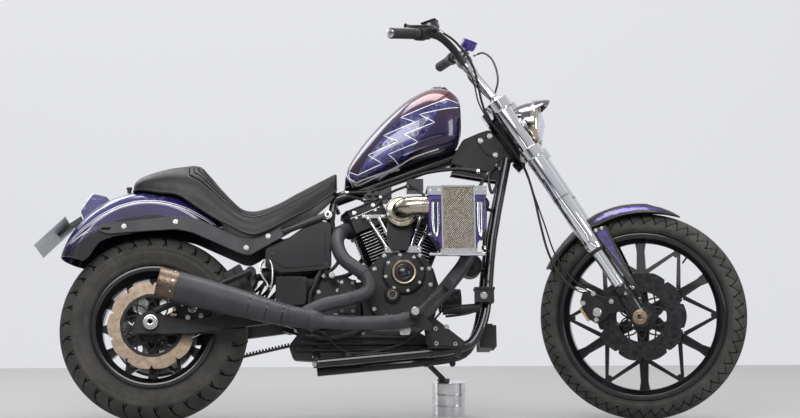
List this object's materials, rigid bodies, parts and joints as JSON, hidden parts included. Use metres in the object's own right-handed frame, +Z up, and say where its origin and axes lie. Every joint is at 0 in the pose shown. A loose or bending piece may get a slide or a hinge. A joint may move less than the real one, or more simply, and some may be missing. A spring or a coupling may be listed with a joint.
{
  "type": "chopper motorcycle",
  "caption": "Long, low custom motorcycle with a V-twin engine, raked fork, high bar and stepped seat, leaning on its side stand.",
  "frame": {"origin": "on the floor under the middle of the whole machine's box", "axes": "+X ahead, towards the front wheel; +Y to the machine's left; +Z up from the floor; the machine leans 12 degrees to the left"},
  "size_m": [2.3588, 0.9754, 1.3373],
  "materials": {
    "frame_black": "gloss black paint",
    "engine_black": "satin black powder coat",
    "purple_candy": "gloss purple candy paint",
    "chrome_metal": "polished chrome",
    "polished_alloy": "polished",
    "bare_steel": "ground steel",
    "tyre_rubber": "matte black rubber",
    "grip_rubber": "moulded black rubber",
    "seat_leather": "stitched black leather",
    "exhaust_coat": "matte dark grey coating",
    "lens_glass": "clear moulded glass",
    "plate_white": "satin white",
    "filter_mesh": "perforated plate",
    "belt_rubber": "toothed rubber belt",
    "hose_rubber": "black hose"
  },
  "bodies": {
    "chassis": {"frame_neck": "frame_black", "frame_downtubes": "frame_black", "frame_rails": "frame_black", "frame_uprights": "frame_black", "swingarm_lower": "frame_black", "swingarm_upper": "frame_black", "shock_absorber": "engine_black", "rear_axle": "chrome_metal", "rear_caliper": "engine_black", "crankcase": "engine_black", "rear_cylinder": "engine_black", "front_cylinder": "engine_black", "rocker_covers": "engine_black", "pushrod_tubes": "chrome_metal", "cam_cover": "engine_black", "primary_cover": "engine_black", "transmission": "engine_black", "intake_elbow": "chrome_metal", "air_cleaner": "purple_candy", "air_filter": "filter_mesh", "exhaust_pipes": "exhaust_coat", "muffler": "exhaust_coat", "oil_filter": "engine_black", "horn": "frame_black", "fuel_tank": "purple_candy", "fuel_cap": "chrome_metal", "seat": "seat_leather", "rear_fender": "purple_candy", "fender_struts": "engine_black", "side_panels": "frame_black", "tail_light": "purple_candy", "plate_bracket": "frame_black", "licence_plate": "plate_white", "drive_belt": "belt_rubber", "right_foot_controls": "engine_black", "left_foot_controls": "engine_black", "stand_discs": "polished_alloy"},
    "side_stand_body": {"side_stand": "polished_alloy"},
    "rear_wheel_body": {"rear_tyre": "tyre_rubber", "rear_wheel": "engine_black", "rear_brake_disc": "bare_steel", "rear_pulley": "bare_steel"},
    "front_wheel_body": {"front_tyre": "tyre_rubber", "front_wheel": "engine_black", "front_brake_disc": "bare_steel"},
    "steering_head": {"fork_clamps": "engine_black", "fork_tubes": "chrome_metal", "fork_lugs": "engine_black", "front_axle": "chrome_metal", "bar_risers": "chrome_metal", "handlebar": "engine_black", "hand_grips": "grip_rubber", "hand_controls": "engine_black", "gauge_pod": "purple_candy", "headlight_shell": "chrome_metal", "headlight_lens": "lens_glass", "front_fender": "purple_candy", "fender_stays": "purple_candy", "front_caliper": "engine_black", "control_cables": "hose_rubber"}
  },
  "joints": [
    {"name": "rear_wheel_spin", "type": "hinge", "parent": "chassis", "child": "rear_wheel_body", "pos_m": [-0.78963, -0.19434, 0.30628], "axis": [0, 0.9781, -0.2079], "continuous": true},
    {"name": "steering", "type": "hinge", "parent": "chassis", "child": "steering_head", "pos_m": [0.80295, -0.19211, 0.31678], "axis": [-0.5316, 0.1761, 0.8285], "range_deg": [-13, 47]},
    {"name": "front_wheel_spin", "type": "hinge", "parent": "steering_head", "child": "front_wheel_body", "pos_m": [0.84345, -0.20112, 0.34469], "axis": [0.2476, 0.9677, -0.0468], "continuous": true},
    {"name": "side_stand_swing", "type": "hinge", "parent": "chassis", "child": "side_stand_body", "pos_m": [0.07847, -0.04864, 0.22702], "axis": [0.2989, -0.1501, 0.9424], "range_deg": [0, 170]}
  ]
}
